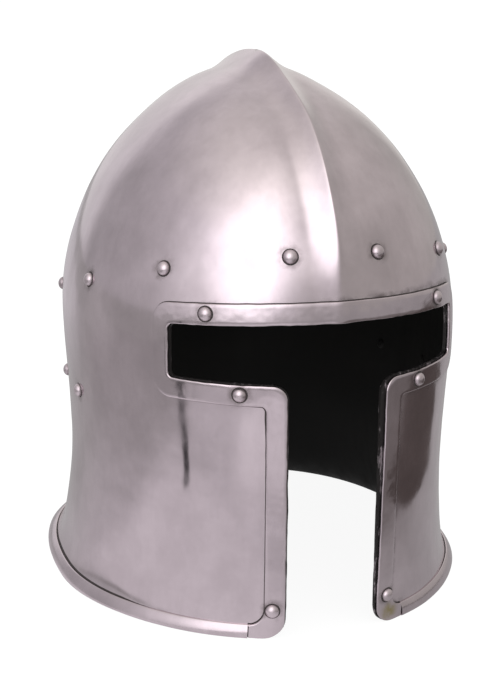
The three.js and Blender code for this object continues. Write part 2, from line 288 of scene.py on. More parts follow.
def ripples(points, wave, seed, count=16):
    # gentle unevenness of about -1 to 1, the same each run
    rng = np.random.RandomState(seed)
    total = 0
    for _ in range(count):
        way = rng.normal(size=3)
        way /= np.linalg.norm(way)
        length = wave * rng.uniform(0.7, 1.7)
        total = total + np.sin(2 * math.pi * (points @ way) / length + rng.uniform(0, 2 * math.pi))
    return total / math.sqrt(2 * count)


def hammered(points):
    # the plate only ever dips below its true form
    wave = skull["hammerWave"]
    dips = sum(weight * ripples(points, share * wave, seed) for weight, share, seed in skull["hammerBlows"])
    return -skull["hammerDepth"] * (1 + np.tanh(0.8 * dips))


def offSkull(turn, rise, lift, worked=True):
    point = roundSkull(turn, rise)
    stand = ridge(turn, rise, point[..., 0]) + lift
    if worked:
        stand = stand + hammered(point)
    return point + outward(turn, rise) * stand[..., None]


# Tables that turn a height, or a way round the outside, into places on the round skull.
heights = np.linspace(0, 1, 3001)
heightTable = heightAt(heights * crown)


def riseAt(up):
    return np.interp(up, heightTable, heights)


wayRises = np.linspace(0, 0.8, 241)
wayTurns = np.linspace(0, math.pi, 721)
gridTurn, gridRise = np.meshgrid(wayTurns, wayRises)
steps = np.linalg.norm(np.diff(roundSkull(gridTurn, gridRise), axis=1), axis=-1)
wayTable = np.concatenate([np.zeros((len(wayRises), 1)), np.cumsum(steps, axis=1)], axis=1)


def wayRow(rise):
    q = np.clip(rise / wayRises[-1] * (len(wayRises) - 1), 0, len(wayRises) - 1.001)
    i = int(q)
    return lerp(wayTable[i], wayTable[i + 1], q - i)


def turnAt(arc, rise):
    arc, rise = np.broadcast_arrays(np.asarray(arc, float), np.asarray(rise, float))
    flat = [
        math.copysign(np.interp(abs(a), wayRow(r), wayTurns), a)
        for a, r in zip(arc.ravel(), rise.ravel())
    ]
    return np.array(flat).reshape(arc.shape)


def onPlate(arc, up, lift, worked=True):
    rise = riseAt(np.maximum(up, 0))
    point = offSkull(turnAt(arc, rise), rise, np.asarray(lift, float) + 0 * rise, worked)
    point[..., 2] = np.where(np.asarray(up) < 0, up, point[..., 2])
    return point


def addObject(name, data):
    obj = bpy.data.objects.new(name, data)
    bpy.context.scene.collection.objects.link(obj)
    return obj


def meshObject(name, points, faces):
    mesh = bpy.data.meshes.new(name)
    mesh.from_pydata((np.asarray(points) * mm).tolist(), [], faces)
    mesh.validate()
    return addObject(name, mesh)


def outwardFaces(obj):
    work = bmesh.new()
    work.from_mesh(obj.data)
    bmesh.ops.recalc_face_normals(work, faces=work.faces)
    work.to_mesh(obj.data)
    work.free()


def smoothShade(obj, angle):
    obj.data.polygons.foreach_set("use_smooth", [True] * len(obj.data.polygons))
    obj.data.set_sharp_from_angle(angle=math.radians(angle))
    obj.data.update()


def sweptRings(name, rings):
    # a closed tube through rings of equally many points, with its two ends filled
    count, n = rings.shape[:2]
    faces = []
    for i in range(count - 1):
        for j in range(n):
            a = i * n + j
            b = i * n + (j + 1) % n
            faces.append((a, b, b + n, a + n))
    faces.append(tuple(reversed(range(n))))
    faces.append(tuple((count - 1) * n + j for j in range(n)))
    obj = meshObject(name, rings.reshape(-1, 3), faces)
    outwardFaces(obj)
    return obj


def fit(obj, slot, *nodes):
    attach(obj, "root")
    if nodes:
        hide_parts(*nodes)


def addNode(tree, kind, links, values):
    # values are the node's own settings. links fill its inputs, with a socket or a value.
    made = tree.nodes.new(kind)
    for key, value in values.items():
        setattr(made, key, value)
    for socket, source in (links or {}).items():
        if isinstance(source, bpy.types.NodeSocket):
            tree.links.new(source, made.inputs[socket])
        else:
            made.inputs[socket].default_value = source
    return made


def evaluatedMesh(obj):
    bpy.context.view_layer.update()
    return bpy.data.meshes.new_from_object(obj.evaluated_get(bpy.context.evaluated_depsgraph_get()))


# Materials


class Shader:
    # a shorthand for wiring a material's nodes
    def __init__(self, name):
        self.material = bpy.data.materials.new(name)
        self.material.use_nodes = True
        self.tree = self.material.node_tree
        self.tree.nodes.clear()
        self.out = self.tree.nodes.new("ShaderNodeOutputMaterial")

    def node(self, kind, links=None, **values):
        return addNode(self.tree, kind, links, values)

    def place(self):
        return self.node("ShaderNodeTexCoord").outputs["Object"]

    def noise(self, place, scale, detail=3, rough=0.55, stretch=(1, 1, 1), offset=(0, 0, 0)):
        moved = self.node("ShaderNodeMapping", {"Vector": place, "Scale": stretch, "Location": offset})
        links = {"Vector": moved.outputs[0], "Scale": scale, "Detail": detail, "Roughness": rough}
        return self.node("ShaderNodeTexNoise", links).outputs["Fac"]

    def ramp(self, source, stops):
        made = self.node("ShaderNodeValToRGB", {"Fac": source})
        first, second = made.color_ramp.elements
        first.position, first.color = stops[0][0], grey(stops[0][1])
        second.position, second.color = stops[-1][0], grey(stops[-1][1])
        for position, value in stops[1:-1]:
            made.color_ramp.elements.new(position).color = grey(value)
        return made.outputs["Color"]

    def range(self, source, low, high, toLow, toHigh):
        links = {"Value": source, "From Min": low, "From Max": high, "To Min": toLow, "To Max": toHigh}
        return self.node("ShaderNodeMapRange", links).outputs["Result"]

    def mix(self, share, a, b):
        return self.node("ShaderNodeMix", {0: share, 6: grey(a), 7: grey(b)}, data_type="RGBA").outputs[2]

    def math(self, how, a, b):
        return self.node("ShaderNodeMath", {0: a, 1: b}, operation=how).outputs[0]

    def vector(self, how, a, b, out=0):
        return self.node("ShaderNodeVectorMath", {0: a, 1: b}, operation=how).outputs[out]

    def bump(self, height, strength, distance, before=None):
        links = {"Height": height, "Strength": strength, "Distance": distance}
        if before is not None:
            links["Normal"] = before
        return self.node("ShaderNodeBump", links).outputs["Normal"]

    def finish(self, shader):
        self.tree.links.new(shader.outputs[0], self.out.inputs["Surface"])
        return self.material

    def principled(self, links):
        return self.finish(self.node("ShaderNodeBsdfPrincipled", links))

    def emission(self, colour, strength):
        return self.node("ShaderNodeEmission", {"Color": grey(colour), "Strength": strength})


def grey(value):
    # a colour for a socket, from a grey, three numbers or another socket
    if isinstance(value, bpy.types.NodeSocket):
        return value
    if isinstance(value, (int, float)):
        return (value, value, value, 1)
    return (*value, 1)


darkLook = {
    "paint": (0.02, 0.019, 0.018),
    "paintDeep": 0.012,
    "paintLow": 0.003,  # painted shade low down inside, where little light reaches
    "wornPaint": (0.014, 0.012, 0.012),
    "wornSteel": (0.5, 0.44, 0.47),
    "polish": (0.02, 0.016, 0.016),
    "polishDry": (0.06, 0.05, 0.048),
}

steelLook = {
    "bright": (0.735, 0.645, 0.685),
    "dull": (0.56, 0.49, 0.518),
    # the colour of the painted shade and dirt by the joints and rivets
    "shadeAndDirt": (0.1, 0.078, 0.074),
    "stain": (0.4, 0.34, 0.19),
    "smoothest": 0.08,
    "roughest": 0.19,
    "smudge": 0.034,  # size of the cloudy patches, in metres
    "waviness": 0.0004,
    "scratch": 0.000012,
}


def steelMaterial(name, shade=1.0, rougher=0.0, wavy=1.0, tight=1.6):
    shader = Shader(name)
    place = shader.place()
    size = 1 / steelLook["smudge"]
    clouds = shader.noise(place, size, 4, 0.6)
    patches = shader.noise(place, 0.35 * size, 2, 0.5, offset=(3, 1, 2))
    rubbed = shader.noise(place, 260, 3, 0.7, stretch=(1, 1, 0.1), offset=(1, 5, 2))
    wiped = shader.noise(place, 90, 4, 0.65, stretch=(1, 0.7, 0.3), offset=(2, 2, 6))
    dull = tuple(shade * v for v in steelLook["dull"])
    bright = tuple(shade * v for v in steelLook["bright"])
    colour = shader.mix(shader.range(clouds, 0.3, 0.7, 0, 1), dull, bright)
    colour = shader.mix(shader.range(patches, 0.4, 0.75, 0, 0.35), colour, tuple(0.92 * v for v in dull))
    colour = shader.mix(shader.range(wiped, 0.45, 0.75, 0, 0.36), colour, tuple(0.85 * v for v in dull))

    # painted shade with dirt by the joints and rivets and at the foot of each rivet, and one yellow stain
    blot = shader.noise(place, 110, 3, 0.6, offset=(7, 1, 3))
    held, foot, spot = (
        shader.node("ShaderNodeAttribute", attribute_name=name).outputs["Fac"]
        for name in ("shadeAndGrime", "foot", "stain")
    )
    shadeAndDirt = shader.math("MULTIPLY", held, shader.range(blot, 0.35, 0.65, 0.1, 1))
    shadeAndDirt = shader.math("MAXIMUM", shadeAndDirt, shader.range(foot, 0.5, 1, 0, 0.8))
    colour = shader.mix(shader.range(shadeAndDirt, 0.1, 0.9, 0, 0.72), colour, steelLook["shadeAndDirt"])
    yellow = shader.math("MULTIPLY", spot, shader.range(blot, 0.35, 0.55, 0.2, 1))
    colour = shader.mix(yellow, colour, steelLook["stain"])

    low = steelLook["smoothest"] + rougher
    cloudy = shader.range(clouds, 0.3, 0.72, low, steelLook["roughest"] + rougher)
    rough = shader.math("ADD", cloudy, shader.range(rubbed, 0.3, 0.8, -0.02, 0.04))
    rough = shader.math("ADD", rough, shader.range(shadeAndDirt, 0, 1, 0, 0.25))
    waves = shader.noise(place, tight * size, 2, 0.5, offset=(4, 4, 1))
    rolled = shader.bump(waves, 0.5 * wavy, steelLook["waviness"])
    fine = shader.bump(rubbed, 0.3, steelLook["scratch"], rolled)
    return shader.principled({"Base Color": colour, "Metallic": 1.0, "Roughness": rough, "Normal": fine})


def wornMaterial(name):
    # the cut edge of the plate: black paint rubbed through to the steel
    shader = Shader(name)
    place = shader.place()
    flakes = shader.noise(place, 420, 4, 0.7, stretch=(1, 1, 0.2))
    across = shader.node("ShaderNodeSeparateXYZ", {0: place}).outputs[0]
    most = shader.range(across, -0.03, 0.02, 0.15, 0.9)  # the wearer's left is rubbed more
    rubbed = shader.math("MULTIPLY", most, shader.range(flakes, 0.56, 0.68, 0, 1))
    return shader.principled(
        {
            "Base Color": shader.mix(rubbed, darkLook["wornPaint"], darkLook["wornSteel"]),
            "Metallic": rubbed,
            "Roughness": shader.range(flakes, 0.4, 0.7, 0.55, 0.28),
            "Specular IOR Level": 0.25,
            "Normal": shader.bump(flakes, 0.6, 0.0004),
        }
    )


def jointShadeMaterial(name):
    # painted shade in the joints, with old polish and dirt
    shader = Shader(name)
    place = shader.place()
    blot = shader.noise(place, 300, 3, 0.6)
    colour = shader.mix(blot, darkLook["polish"], darkLook["polishDry"])
    rough = shader.range(blot, 0.3, 0.7, 0.5, 0.75)
    return shader.principled({"Base Color": colour, "Roughness": rough, "Specular IOR Level": 0.3})


def blackMaterial(name):
    # matt black paint inside, with brush marks and painted shade low down
    shader = Shader(name)
    place = shader.place()
    brush = shader.noise(place, 120, 4, 0.6, stretch=(1, 1, 0.25))
    blot = shader.noise(place, 26, 3, 0.5)
    up = shader.node("ShaderNodeSeparateXYZ", {0: place}).outputs[2]
    high = shader.mix(blot, darkLook["paintDeep"], darkLook["paint"])
    # painted shade: darker towards the lower edge inside
    colour = shader.mix(shader.range(up, 0.0, 0.09, 0, 1), darkLook["paintLow"], high)
    rough = shader.range(brush, 0.3, 0.7, 0.38, 0.6)
    fine = shader.bump(brush, 0.5, 0.0003)
    return shader.principled(
        {"Base Color": colour, "Roughness": rough, "Specular IOR Level": 0.06, "Normal": fine}
    )


skullSteel = steelMaterial("skullSteel")
borderSteel = steelMaterial("borderSteel", shade=0.97, rougher=0.02, wavy=1.8, tight=2.8)
stripSteel = steelMaterial("stripSteel", shade=0.93, rougher=0.04, wavy=0.7)
rivetSteel = steelMaterial("rivetSteel", shade=1.04, rougher=0.16, wavy=0.3)
wornEdge = wornMaterial("wornEdge")
blackInside = blackMaterial("blackInside")
jointShadeAndPolish = jointShadeMaterial("jointShadeAndPolish")
print("materials made")


# The skull


def skullSkin(columns, rows, lift, worked):
    u = np.arange(columns) / (columns / 2)
    turns = math.pi * (u - skull["crowding"] * np.sin(2 * math.pi * u))
    turn, rise = np.meshgrid(turns, np.arange(rows) / rows)
    grid = offSkull(turn, rise, lift + 0 * turn, worked).reshape(-1, 3)
    top = offSkull(np.array([0.0]), np.array([1.0]), np.array([lift]), worked)
    return np.concatenate([grid, top])


def wholeSkull():
    points = []
    faces = []
    inside = []
    edges = []
    for columns, rows, lift, inner in (
        (skull["columns"], skull["rows"], 0.0, False),
        (skull["columns"] // 2, skull["rows"] // 2, -skull["wall"], True),
    ):
        first = sum(len(part) for part in points)
        points.append(skullSkin(columns, rows, lift, not inner))
        for j in range(columns):
            k = (j + 1) % columns
            for i in range(rows - 1):
                a = first + i * columns
                b = a + columns
                quad = (a + j, a + k, b + k, b + j)
                faces.append(tuple(reversed(quad)) if inner else quad)
                inside.append(inner)
            top = first + (rows - 1) * columns
            tip = (top + j, top + k, first + rows * columns)
            faces.append(tuple(reversed(tip)) if inner else tip)
            inside.append(inner)
        edges.append(first)
    outer, inner = edges
    for j in range(skull["columns"] // 2):
        k = (j + 1) % (skull["columns"] // 2)
        a, b, c = (outer + (2 * j + n) % skull["columns"] for n in range(3))
        faces.append((b, a, inner + j))
        faces.append((c, b, inner + j, inner + k))
        inside.extend([False, False])
    obj = meshObject("skullShell", np.concatenate(points), faces)
    for material in (skullSteel, blackInside, wornEdge):
        obj.data.materials.append(material)
    obj.data.polygons.foreach_set("material_index", [int(flag) for flag in inside])
    return obj


def cornerPull(radius, away):
    away = np.maximum(away, 0)
    inside = np.maximum(radius * radius - (radius - away) ** 2, 0)
    return np.where(away >= radius, 0, radius - np.sqrt(inside))


def filed(along, seed):
    # how far a hand-filed edge strays, for a place along it
    points = np.stack([along, 0 * along, 0 * along], axis=-1)
    (coarse, long), (fine, short) = opening["filingWaves"]
    strays = coarse * ripples(points, long, seed, 7) + fine * ripples(points, short, seed + 1, 7)
    return opening["filing"] * strays


def roofAt(arc):
    return opening["slotRoof"] - opening["slotDroop"] * (arc / opening["slotEnd"]) ** 2


def eyeSlotCutter():
    end = opening["slotEnd"] - opening["proud"]
    near = np.array([0, 0.04, 0.15, 0.4, 0.7, 1]) * opening["slotCorner"]
    arcs = np.concatenate([-end + near, np.linspace(-end + 4, end - 4, 180), (end - near)[::-1]])
    pull = cornerPull(opening["slotCorner"], end - np.abs(arcs))
    low = opening["slotFloor"] + opening["proud"] + pull + filed(arcs, 21)
    high = roofAt(arcs) - pull + filed(arcs, 23)
    reach = 3 * skull["wall"]
    corners = [(low, -reach), (low, reach), (high, reach), (high, -reach)]
    rings = np.stack([onPlate(arcs, up, lift, False) for up, lift in corners], axis=1)
    return sweptRings("eyeSlotCutter", rings)


def cheekEdge(up):
    straight = lerp(opening["gapAtChin"], opening["gapAtEyes"], up / opening["slotFloor"])
    tip = cornerPull(opening["cheekTipCorner"], up)
    top = cornerPull(opening["cheekTopCorner"], opening["slotFloor"] - up)
    return straight + tip + top


def faceCutter():
    low = opening["cheekTipCorner"]
    high = opening["slotFloor"] - opening["cheekTopCorner"]
    near = np.array([0, 0.01, 0.04, 0.1, 0.2, 0.35, 0.55, 0.8])
    ups = np.concatenate(
        [
            [-4],
            near * low,
            np.linspace(low, high, 100),
            opening["slotFloor"] - near[::-1] * opening["cheekTopCorner"],
            [opening["slotFloor"] + 15],
        ]
    )
    half = cheekEdge(np.clip(ups, 0, opening["slotFloor"]))
    reach = 12 * skull["wall"]
    share = np.clip(ups / opening["slotFloor"], 0, 1)
    right = -half + opening["proud"] + filed(ups, 31)
    left = half - lerp(opening["proud"], opening["proudLeft"], share) + filed(ups, 33)
    corners = [(right, -reach), (left, -reach), (left, reach), (right, reach)]
    rings = np.stack([onPlate(arc, ups, lift, False) for arc, lift in corners], axis=1)
    return sweptRings("faceCutter", rings)


def cutWith(obj, cutter):
    for material in obj.data.materials:
        cutter.data.materials.append(material)
    cutter.data.polygons.foreach_set("material_index", [2] * len(cutter.data.polygons))
    cut = obj.modifiers.new("cut", "BOOLEAN")
    cut.operation = "DIFFERENCE"
    cut.solver = "EXACT"
    cut.object = cutter
    old = obj.data
    obj.data = evaluatedMesh(obj)
    obj.modifiers.clear()
    bpy.data.meshes.remove(old)
    bpy.data.objects.remove(cutter)


def nearest(points, marks):
    # how far each point is from the closest of the marks
    marks = np.asarray(marks)
    return np.concatenate(
        [
            np.linalg.norm(part[:, None] - marks[None], axis=-1).min(axis=1)
            for part in np.array_split(points, max(1, len(points) // 4000))
        ]
    )


def coordinates(items, key):
    found = np.empty(3 * len(items))
    items.foreach_get(key, found)
    return found.reshape(-1, 3) / mm


def paintOpening(shell):
    # the plate that shows past the border is painted like the inside
    centres = coordinates(shell.data.polygons, "center")
    inner = borderEdges()[0]
    outline = onPlate(inner[:, 0], inner[:, 1], 0.0)
    index = np.empty(len(centres), int)
    shell.data.polygons.foreach_get("material_index", index)
    up = np.clip(centres[:, 2], 0, opening["slotFloor"])
    past = (np.abs(centres[:, 0]) < cheekEdge(up)) & (centres[:, 2] < opening["slotFloor"])
    front = (index == 0) & (centres[:, 1] < 0) & (centres[:, 2] < opening["slotRoof"] + 2)
    chosen = np.flatnonzero(front)
    close = nearest(centres[chosen], outline) < opening["paintReach"]
    index[chosen[close | past[chosen]]] = 2
    shell.data.polygons.foreach_set("material_index", index)


def keep(obj, name, values):
    kept = obj.data.attributes.new(name, "FLOAT", "POINT")
    kept.data.foreach_set("value", values)


def shadeAndSoil(obj, lines):
    # painted shade, with polish and dirt, round the rivets and along the joints
    points = coordinates(obj.data.vertices, "co")
    arcs, ups, lifts = rivetSeats()
    away = nearest(points, onPlate(arcs, ups, lifts))
    shadeAndDirt = np.exp(-((np.maximum(away - rivet["radius"], 0) / shadeAndGrime["rivetReach"]) ** 2))
    if lines is not None:
        side = lerp(shadeAndGrime["leastShadeAlongJoints"], 1.0, smoothstep(points[:, 0], *shadeAndGrime["shadeFadesOver"]))
        shadeAndDirt = np.maximum(shadeAndDirt, side * np.exp(-((nearest(points, lines) / shadeAndGrime["jointReach"]) ** 2)))
    keep(obj, "shadeAndGrime", shadeAndDirt)


def makeSkull():
    shell = wholeSkull()
    cutWith(shell, eyeSlotCutter())
    cutWith(shell, faceCutter())
    paintOpening(shell)
    outer = borderEdges()[1]
    shadeAndSoil(shell, onPlate(outer[:, 0], outer[:, 1], 0.0))
    smoothShade(shell, skull["sharpAngle"])
    fit(shell, "skull_steel", "skull_shell")
    print("skull made:", len(shell.data.polygons), "faces")


# The border round the opening


def roundedEdge(corners, steps):
    # a line through corners, each rounded by its radius, with a given number of points
    # on each stretch, so that two edges pair up
    at = [Vector((c[0], c[1])) for c in corners]
    points = []
    start = at[0]
    for i in range(1, len(corners)):
        final = i == len(corners) - 1
        radius = 0 if final else corners[i][2]
        back = (at[i - 1] - at[i]).normalized()
        stop = at[i] + back * radius
        points += [start.lerp(stop, k / steps[i - 1]) for k in range(steps[i - 1])]
        if final:
            points.append(at[i])
            break
        ahead = (at[i + 1] - at[i]).normalized()
        leave = at[i] + ahead * radius
        hub = stop + leave - at[i]
        for k in range(border["cornerSteps"]):
            swing = math.pi / 2 * k / border["cornerSteps"]
            points.append(hub + (stop - hub) * math.cos(swing) + (leave - hub) * math.sin(swing))
        start = leave
    return np.array([tuple(p) for p in points])


def borderEdges():
    chin, eyes, end = opening["gapAtChin"], opening["gapAtEyes"], opening["slotEnd"]
    low, high, toe = opening["slotFloor"], opening["slotRoof"], border["toe"]
    width, back = border["width"], end + border["endWidth"]
    inner = [
        (toe, 0),
        (chin, 0, opening["cheekTipCorner"]),
        (eyes, low, opening["cheekTopCorner"]),
        (end, low, opening["slotCorner"]),
        (end, high, opening["slotCorner"]),
        (0, high),
    ]
    outer = [
        (toe, rim["height"]),
        (chin + width, rim["height"], border["cornerTip"]),
        (eyes + width, low - width, border["cornerInside"]),
        (back, low - width, border["cornerSlot"]),
        (back, high + width, border["cornerSlot"]),
        (0, high + width),
    ]
    sides = []
    for corners in (inner, outer):
        edge = roundedEdge(corners, border["steps"])
        share = smoothstep(edge[:, 1], low, high)
        droop = share * opening["slotDroop"] * np.minimum(edge[:, 0] / end, 1) ** 2
        edge[:, 1] -= droop
        mirrored = edge * np.array([-1, 1])
        sides.append(np.concatenate([mirrored, edge[-2::-1]]))
    return sides


def makeBorder():
    inner, outer = borderEdges()
    across = outer - inner
    width = np.linalg.norm(across, axis=1)
    along = np.concatenate([[0], np.cumsum(np.linalg.norm(np.diff(inner, axis=0), axis=1))])
    inset = filed(along, 41)
    outset = 0.5 * filed(along, 43)
    low = border["gap"]
    high = low + border["steel"]
    r = border["edgeRound"]
    # The section: how far in from the opening's edge or the outer edge, or a share of the
    # width, each with its lift. The last points are the dark line outside it: painted shade of the gap,
    # with polish and dirt.
    bends = (0.45, 0.95, math.pi / 2)
    section = [("inner", 0.15, low), ("inner", 0.0, low + 0.25), ("inner", 0.0, high - r)]
    section += [("inner", r * (1 - math.cos(a)), high - r * (1 - math.sin(a))) for a in bends]
    section += [("share", share, high) for share in (0.2, 0.4, 0.6, 0.8)]
    section += [("outer", r * (1 - math.cos(a)), high - r * (1 - math.sin(a))) for a in reversed(bends)]
    section += [("outer", 0.0, high - r), ("outer", 0.0, low + 0.1)]
    jointFrom = len(section) - 1
    section += [("joint", 0.0, low), ("joint", 0.0, 0.05), ("outer", 0.3, 0.05)]
    columns = []
    unit = across / width[:, None]
    away = np.linalg.norm(outer - np.array(joint["openAt"]), axis=1)
    wide = joint["width"] + joint["openWidth"] * np.exp(-((away / joint["openReach"]) ** 2))
    for kind, value, lift in section:
        if kind == "inner":
            at = inner + unit * (inset + value)[:, None]
        elif kind == "outer":
            at = outer - unit * (value - outset)[:, None]
        elif kind == "joint":
            at = outer + unit * (wide + outset)[:, None]
        else:
            at = inner + across * value
        up = np.maximum(at[:, 1], 0)
        columns.append(onPlate(at[:, 0], up, lift))
    rings = np.stack(columns, axis=1)
    middle = len(inner) // 2
    first, past = middle - border["crestSpan"], middle + border["crestSpan"] + 1
    for _ in range(border["crestEasing"]):
        around = rings[first - 1 : past - 1] + 2 * rings[first:past] + rings[first + 1 : past + 1]
        rings[first:past] = around / 4
    obj = sweptRings("faceBorder", rings)
    shadeAndSoil(obj, None)
    spot = onPlate(*shadeAndGrime["stainAt"], border["steel"])
    away = nearest(coordinates(obj.data.vertices, "co"), [spot])
    keep(obj, "stain", np.exp(-((away / shadeAndGrime["stainReach"]) ** 4)))
    obj.data.materials.append(borderSteel)
    obj.data.materials.append(jointShadeAndPolish)
    # the joint rows take the painted gap shade
    ring = [int(jointFrom <= k < len(section) - 1) for k in range(len(section))]
    obj.data.polygons.foreach_set("material_index", ring * (len(inner) - 1) + [0, 0])
    smoothShade(obj, sharpAngle)
    fit(obj, "border_steel", "face_border")
    print("border made:", len(obj.data.polygons), "faces")


# Geometry Nodes


def newTree(name, inputs):
    tree = bpy.data.node_groups.new(name, "GeometryNodeTree")
    tree.interface.new_socket("Geometry", in_out="INPUT", socket_type="NodeSocketGeometry")
    for label, kind, value in inputs:
        socket = tree.interface.new_socket(label, in_out="INPUT", socket_type=kind)
        if value is not None:
            socket.default_value = value
    tree.interface.new_socket("Geometry", in_out="OUTPUT", socket_type="NodeSocketGeometry")
    enter = tree.nodes.new("NodeGroupInput")
    leave = tree.nodes.new("NodeGroupOutput")

    def add(kind, links=None, **values):
        return addNode(tree, kind, links, values)

    def calc(how, *terms):
        return add("ShaderNodeMath", dict(enumerate(terms)), operation=how).outputs[0]

    def close(geometry, material):
        real = add("GeometryNodeRealizeInstances", {"Geometry": geometry})
        dressed = add("GeometryNodeSetMaterial", {"Geometry": real.outputs[0], "Material": material})
        tree.links.new(dressed.outputs[0], leave.inputs[0])

    return tree, enter.outputs, add, calc, close


def growWith(source, tree, values, name):
    # runs a tree on an object and keeps the result as a plain mesh
    grow = source.modifiers.new("grow", "NODES")
    grow.node_group = tree
    for item in tree.interface.items_tree:
        if item.item_type == "SOCKET" and item.in_out == "INPUT" and item.name in values:
            grow[item.identifier] = values[item.name]
    source.update_tag()
    done = evaluatedMesh(source)
    done.name = name
    obj = addObject(name, done)
    bpy.data.objects.remove(source)
    return obj


def rimTree():
    tree, values, add, calc, close = newTree(
        "rimStrip",
        [
            ("Height", "NodeSocketFloat", rim["height"] * mm),
            ("Steel", "NodeSocketFloat", rim["steel"] * mm),
            ("Fillet", "NodeSocketFloat", rim["fillet"] * mm),
            ("Bulge", "NodeSocketFloat", rim["bulge"] * mm),
            ("Material", "NodeSocketMaterial", None),
        ],
    )
    outline = add(
        "GeometryNodeCurvePrimitiveQuadrilateral",
        {"Width": values["Steel"], "Height": values["Height"]},
    )
    rounded = add(
        "GeometryNodeFilletCurve",
        {"Curve": outline.outputs[0], "Radius": values["Fillet"], "Count": 4, "Limit Radius": True},
        mode="POLY",
    )
    dense = add("GeometryNodeResampleCurve", {"Curve": rounded.outputs[0], "Count": rim["outlinePoints"]})
    split = add("ShaderNodeSeparateXYZ", {0: add("GeometryNodeInputPosition").outputs[0]})
    outer = calc("GREATER_THAN", split.outputs[0], 0.0)
    half = calc("DIVIDE", split.outputs[1], values["Height"])
    fall = calc("MULTIPLY_ADD", calc("MULTIPLY", half, half), -4.0, 1.0)
    swell = calc("MULTIPLY", calc("MULTIPLY", fall, values["Bulge"]), outer)
    shift = add("ShaderNodeCombineXYZ", {0: swell})
    domed = add("GeometryNodeSetPosition", {"Geometry": dense.outputs[0], "Offset": shift.outputs[0]})
    strip = add(
        "GeometryNodeCurveToMesh",
        {"Curve": values["Geometry"], "Profile Curve": domed.outputs[0], "Fill Caps": True},
    )
    smooth = add("GeometryNodeSetShadeSmooth", {"Geometry": strip.outputs[0]})
    close(smooth.outputs[0], values["Material"])
    return tree


def rimPath(start, middle, lift):
    # a line round the lower edge from cheek to cheek by way of the back, leaning with the plate
    rise = riseAt(middle)
    turns = math.pi + (math.pi - turnAt(start, rise)) * np.linspace(-1, 1, rim["columns"])
    points = offSkull(turns, rise + 0 * turns, lift + 0 * turns)
    points[:, 2] = middle + rim["uneven"] * ripples(points, rim["unevenWave"], 8)
    lower = offSkull(turns, riseAt(0.0) + 0 * turns, 0 * turns, False)
    upper = offSkull(turns, riseAt(rim["height"]) + 0 * turns, 0 * turns, False)
    lean = np.arctan2(np.linalg.norm((upper - lower)[:, :2], axis=1), rim["height"])
    curve = bpy.data.curves.new("rimPath", "CURVE")
    curve.dimensions = "3D"
    curve.twist_mode = "Z_UP"
    line = curve.splines.new("POLY")
    line.points.add(len(points) - 1)
    for place, point, tilt in zip(line.points, points * mm, lean):
        place.co = (*point, 1)
        place.tilt = -tilt
    return addObject("rimPath", curve)


def growRim(name, path, height, steel, fillet, bulge, material, *nodes):
    sizes = {
        "Height": height * mm,
        "Steel": steel * mm,
        "Fillet": fillet * mm,
        "Bulge": bulge * mm,
        "Material": material,
    }
    obj = growWith(path, rimTree(), sizes, name)
    outwardFaces(obj)
    smoothShade(obj, sharpAngle)
    fit(obj, "strip_steel", *nodes)
    print(name, "made:", len(obj.data.polygons), "faces")


def makeRim():
    flat = rim["steel"] - rim["bulge"]
    path = rimPath(border["toe"] + rim["butt"], rim["height"] / 2 + rim["uneven"], rim["gap"] + flat / 2)
    growRim("rimStrip", path, rim["height"], flat, rim["fillet"], rim["bulge"], stripSteel, "rim_strip")
    # the dark line behind it, painted shade of the gap with polish and dirt, starts under the border's foot
    # and clears the floor
    high = rim["height"] + joint["rimWidth"]
    path = rimPath(border["toe"] - joint["rimSteel"], high / 2 + joint["rimClear"], joint["rimSteel"] / 2)
    high -= 2 * joint["rimClear"]
    growRim("rimJointShade", path, high, joint["rimSteel"], joint["rimFillet"], 0.0, jointShadeAndPolish)


def rivetTree():
    tree, values, add, calc, close = newTree(
        "rivetHeads",
        [
            ("Radius", "NodeSocketFloat", rivet["radius"] * mm),
            ("Height", "NodeSocketFloat", rivet["height"] * mm),
            ("Uneven", "NodeSocketFloat", rivet["uneven"]),
            ("Seed", "NodeSocketInt", rivet["seed"]),
            ("Material", "NodeSocketMaterial", None),
        ],
    )
    faces = {"Segments": rivet["segments"], "Rings": rivet["rings"], "Radius": 1.0}
    ball = add("GeometryNodeMeshUVSphere", faces)
    place = add("GeometryNodeInputPosition")
    split = add("ShaderNodeSeparateXYZ", {0: place.outputs[0]})
    flatBase = calc("MAXIMUM", split.outputs[2], 0.0)
    joined = add("ShaderNodeCombineXYZ", {0: split.outputs[0], 1: split.outputs[1], 2: flatBase})
    dome = add("GeometryNodeSetPosition", {"Geometry": ball.outputs[0], "Position": joined.outputs[0]})
    # how low on the dome each point lies, for the painted shade and dirt at the rivet's foot
    foot = calc("SUBTRACT", 1.0, flatBase)
    marked = add(
        "GeometryNodeStoreNamedAttribute",
        {"Geometry": dome.outputs[0], "Name": "foot", "Value": foot},
        data_type="FLOAT",
    )
    size = add("ShaderNodeCombineXYZ", {0: values["Radius"], 1: values["Radius"], 2: values["Height"]})
    head = add("GeometryNodeTransform", {"Geometry": marked.outputs[0], "Scale": size.outputs[0]})
    way = add("GeometryNodeInputNamedAttribute", {"Name": "outward"}, data_type="FLOAT_VECTOR")
    turned = add("FunctionNodeAlignRotationToVector", {"Vector": way.outputs[0]}, axis="Z")
    least = calc("SUBTRACT", 1.0, values["Uneven"])
    even = add(
        "FunctionNodeRandomValue",
        {"Min": least, "Max": (1.0, 1.0, 1.0), "Seed": values["Seed"]},
        data_type="FLOAT_VECTOR",
    )
    heads = add(
        "GeometryNodeInstanceOnPoints",
        {
            "Points": values["Geometry"],
            "Instance": head.outputs[0],
            "Rotation": turned.outputs[0],
            "Scale": even.outputs[0],
        },
    )
    smooth = add("GeometryNodeSetShadeSmooth", {"Geometry": heads.outputs[0]})
    close(smooth.outputs[0], values["Material"])
    return tree


